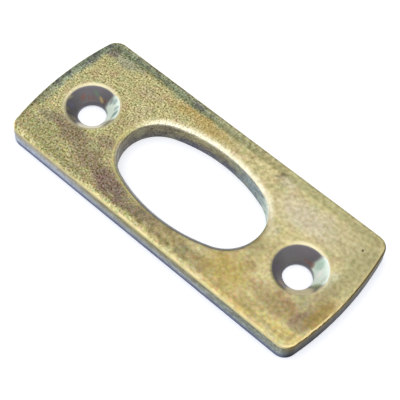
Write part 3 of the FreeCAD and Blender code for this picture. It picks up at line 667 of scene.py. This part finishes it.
def white_card(studio):
    """Matt white card: pure white to the eye and in reflections, with the plate's soft shadow on it."""
    material = bpy.data.materials.new("white_card")
    material.use_nodes = True
    tree = material.node_tree
    tree.nodes.clear()
    diffuse = add(tree, "ShaderNodeBsdfDiffuse", {"Color": rgba(studio.floor)})
    path = add(tree, "ShaderNodeLightPath").outputs
    seen = add(tree, "ShaderNodeMath", {0: path["Is Camera Ray"], 1: path["Is Glossy Ray"]})
    seen = add(tree, "ShaderNodeMath", {0: seen.outputs[0], 1: path["Is Transmission Ray"]})
    level = add(tree, "ShaderNodeMath", {0: seen.outputs[0], 1: studio.floor_glow}, operation="MULTIPLY")
    glow = add(tree, "ShaderNodeEmission", {"Color": rgba("#f8faff"), "Strength": level.outputs[0]})
    both = add(tree, "ShaderNodeAddShader", {0: diffuse.outputs[0], 1: glow.outputs[0]})
    add(tree, "ShaderNodeOutputMaterial", {"Surface": both.outputs[0]})
    return material


def select_only(obj):
    """Make obj the one selected and active object."""
    bpy.ops.object.select_all(action="DESELECT")
    obj.select_set(True)
    bpy.context.view_layer.objects.active = obj


def apply_modifier(obj, kind, **settings):
    """Add a modifier to obj, set it and apply it."""
    modifier = obj.modifiers.new(kind.title(), kind)
    for name, value in settings.items():
        setattr(modifier, name, value)
    select_only(obj)
    bpy.ops.object.modifier_apply(modifier=modifier.name)


class STRIKEPLATE_OT_plate(bpy.types.Operator):
    """Make the plate: a copy of the solid, cut into even strips, given soft tumbling waves and dressed in its
    finish
    """
    bl_idname = "strike_plate.plate"
    bl_label = "Plate"

    # Dividing: points this close are one, faces that turn less than this are one, and a cut this close to a
    # point runs through it.
    WELD = 0.001 * MM
    FLAT = radians(0.05)
    CUT_SNAP = 0.0005 * MM

    # Measuring: the most that a wall's normal leans up, a wall's least height, the spacing of the points on
    # it, how close to the plate's sides the outer wall is, and how close to its middle the opening's is.
    UPRIGHT = 0.12
    WALL_HEIGHT = 0.3 * MM
    WALL_STEP = 0.05 * MM
    EDGE_ZONE = 1.5 * MM
    OPENING_ZONE = 0.75 * HALF_SPACING

    def execute(self, context):
        settings = context.scene.strike_plate
        plate = self.copy_solid(context)
        self.divide(plate, settings.shape)
        self.measure(plate, FROM_EDGE, at_edge=True)
        self.measure(plate, FROM_OPENING, at_edge=False)
        self.tumble(plate, settings.shape)
        plate.data.materials.clear()
        plate.data.materials.append(passivated_zinc(settings.finish))
        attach(plate, BODY)
        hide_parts(NODE)
        return {"FINISHED"}

    def copy_solid(self, context):
        """A copy of the solid's mesh under a name of its own, without the marks of a solid."""
        select_only(frame["nodes"][NODE])
        bpy.ops.object.duplicate()
        plate = context.active_object
        plate.name = plate.data.name = "passivated_plate"
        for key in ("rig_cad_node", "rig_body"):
            del plate[key]
        return plate

    def divide(self, plate, shape):
        """Merge the loose triangles, clear the flats of them and cut the faces into even strips."""
        select_only(plate)
        bpy.ops.object.mode_set(mode="EDIT")
        bpy.ops.mesh.select_all(action="SELECT")
        bpy.ops.mesh.remove_doubles(threshold=self.WELD)
        bpy.ops.mesh.customdata_custom_splitnormals_clear()
        bpy.ops.mesh.dissolve_limited(angle_limit=self.FLAT, delimit=set())
        for way in (Vector((1, 0, 0)), Vector((0, 1, 0))):
            length = (HIGH - LOW).dot(way)
            strips = round(length / shape.pitch)
            for i in range(1, strips):
                bpy.ops.mesh.select_all(action="SELECT")
                bpy.ops.mesh.bisect(plane_co=LOW + way * length * i / strips, plane_no=way,
                                    threshold=self.CUT_SNAP)
        bpy.ops.mesh.select_all(action="SELECT")
        bpy.ops.mesh.remove_doubles(threshold=shape.sliver)
        bpy.ops.object.mode_set(mode="OBJECT")

    def measure(self, plate, name, at_edge):
        """Keep every point's plan distance from the outer wall, or from the opening's, as an attribute."""
        mesh = plate.data
        points = []
        for face in mesh.polygons:
            heights = [mesh.vertices[i].co.z for i in face.vertices]
            if abs(face.normal.z) > self.UPRIGHT or max(heights) - min(heights) < self.WALL_HEIGHT:
                continue
            for pair in face.edge_keys:
                start, end = (mesh.vertices[i].co.xy for i in pair)
                steps = ceil((end - start).length / self.WALL_STEP) or 1
                points += [start.lerp(end, i / steps) for i in range(steps + 1)]
        wanted = [p for p in points if self.on_edge(p) == at_edge and (at_edge or self.in_opening(p))]
        walls = KDTree(len(wanted))
        for i, point in enumerate(wanted):
            walls.insert((*point, 0), i)
        walls.balance()
        away = [walls.find((*vertex.co.xy, 0))[2] for vertex in mesh.vertices]
        mesh.attributes.new(name, "FLOAT", "POINT").data.foreach_set("value", away)

    def on_edge(self, point):
        """Whether a point of a wall is on the plate's outline."""
        return min(HIGH.x - abs(point.x), HIGH.y - abs(point.y)) < self.EDGE_ZONE

    def in_opening(self, point):
        """Whether a point of a wall is near the opening's middle, and so not in a screw hole."""
        return abs(point.x - PIERCING.x) < self.OPENING_ZONE

    def tumble(self, plate, shape):
        """Sink soft waves into the surface, as tumbling leaves them, and shade it smooth."""
        waves = bpy.data.textures.new("tumbling_waves", "CLOUDS")
        waves.noise_scale = shape.wave_length
        waves.noise_depth = 1
        apply_modifier(plate, "DISPLACE", texture=waves, texture_coords="LOCAL", direction="NORMAL",
                       mid_level=1.0, strength=shape.wave_height)
        bpy.ops.object.shade_smooth_by_angle(angle=shape.sharp_angle)


class STRIKEPLATE_OT_stage(bpy.types.Operator):
    """Lay the floor, hang the lamps and set the camera"""
    bl_idname = "strike_plate.stage"
    bl_label = "Stage"

    FLOOR_SIZE = 4.0
    FLOOR_DROP = 0.02 * MM
    NEAREST_SEEN = 10 * MM

    # The room is brighter this way, and darker the other way, by this share of its mean.
    BRIGHT_WAY = (0.6, -0.8, 0)
    BRIGHT_SHARE = 0.5

    # A card stands low on the left: its place, width and height in metres, and its radiance.
    CARD_PLACE = Vector((-0.94, -0.2, 0.27)) * 0.5
    CARD_WIDTH = 0.3
    CARD_HEIGHT = 0.2
    CARD_BRIGHTNESS = 2.5

    def execute(self, context):
        studio = context.scene.strike_plate.studio
        self.lay_floor(studio)
        self.hang_lamps(context.scene, studio)
        self.set_camera(context.scene, studio)
        context.scene.view_settings.view_transform = "Standard"
        return {"FINISHED"}

    def lay_floor(self, studio):
        """A wide card, a hair below the plate."""
        bpy.ops.mesh.primitive_plane_add(size=self.FLOOR_SIZE, location=(0, 0, LOW.z - self.FLOOR_DROP))
        floor = bpy.context.active_object
        floor.name = "floor"
        floor.data.materials.append(white_card(studio))

    def hang_lamps(self, scene, studio):
        """A pale room, a round softbox overhead and a low card. A lamp's watts are radiance * pi * area."""
        world = bpy.data.worlds.new("room")
        world.use_nodes = True
        tree = world.node_tree
        way = add(tree, "ShaderNodeTexCoord").outputs["Generated"]
        towards = add(tree, "ShaderNodeVectorMath", {0: way, 1: self.BRIGHT_WAY}, operation="DOT_PRODUCT")
        level = add(tree, "ShaderNodeMapRange", {"Value": towards.outputs["Value"], "From Min": -1,
                                                 "From Max": 1,
                                                 "To Min": studio.fill * (1 - self.BRIGHT_SHARE),
                                                 "To Max": studio.fill * (1 + self.BRIGHT_SHARE)})
        tree.nodes["Background"].inputs["Color"].default_value = rgba("#f2f5ff")
        tree.links.new(level.outputs["Result"], tree.nodes["Background"].inputs["Strength"])
        scene.world = world
        radius = studio.lamp_height * tan(studio.lamp_angle)
        bpy.ops.object.light_add(type="AREA", location=(*studio.lamp_shift, studio.lamp_height))
        lamp = bpy.context.active_object
        lamp.name = "softbox"
        lamp.data.shape = "DISK"
        lamp.data.size = 2 * radius
        lamp.data.energy = studio.lamp_brightness * pi * pi * radius ** 2
        facing = self.CARD_PLACE.to_track_quat("Z", "Y").to_euler()
        bpy.ops.object.light_add(type="AREA", location=self.CARD_PLACE, rotation=facing)
        card = bpy.context.active_object
        card.name = "low_card"
        card.data.shape = "RECTANGLE"
        card.data.size = self.CARD_WIDTH
        card.data.size_y = self.CARD_HEIGHT
        card.data.energy = self.CARD_BRIGHTNESS * pi * self.CARD_WIDTH * self.CARD_HEIGHT

    def set_camera(self, scene, studio):
        """The camera that was fitted to the photograph."""
        azimuth, elevation = studio.azimuth, studio.elevation
        back = Vector((sin(azimuth) * cos(elevation), -cos(azimuth) * cos(elevation), sin(elevation)))
        right = Vector((cos(azimuth), sin(azimuth), 0))
        up = back.cross(right)
        turned = (right * cos(studio.roll) + up * sin(studio.roll),
                  up * cos(studio.roll) - right * sin(studio.roll))
        data = bpy.data.cameras.new("camera")
        data.lens = studio.lens
        data.clip_start = self.NEAREST_SEEN
        camera = bpy.data.objects.new("camera", data)
        place = turned[0] * studio.side_step + turned[1] * studio.rise + back * studio.distance
        camera.matrix_world = Matrix.Translation(place) @ Matrix((*turned, back)).transposed().to_4x4()
        scene.collection.objects.link(camera)
        scene.camera = camera


class STRIKEPLATE_PT_panel(bpy.types.Panel):
    """Lists the plate's steps and settings"""
    bl_idname = "STRIKEPLATE_PT_panel"
    bl_label = "Strike plate"
    bl_space_type = "VIEW_3D"
    bl_region_type = "UI"
    bl_category = "Strike plate"

    def draw(self, context):
        settings = context.scene.strike_plate
        for group in (settings.shape, settings.finish, settings.studio):
            box = self.layout.box()
            for name in group.__annotations__:
                box.prop(group, name)
        for step in STEPS:
            self.layout.operator(step.bl_idname)


STEPS = (STRIKEPLATE_OT_plate, STRIKEPLATE_OT_stage)
CLASSES = (PlateShape, PlateFinish, Studio, StrikePlateSettings, *STEPS, STRIKEPLATE_PT_panel)


def register():
    for cls in CLASSES:
        bpy.utils.register_class(cls)
    bpy.types.Scene.strike_plate = PointerProperty(type=StrikePlateSettings)


def unregister():
    del bpy.types.Scene.strike_plate
    for cls in reversed(CLASSES):
        bpy.utils.unregister_class(cls)


def main():
    register()
    bpy.ops.strike_plate.plate()
    bpy.ops.strike_plate.stage()


if __name__ == "__main__":
    main()
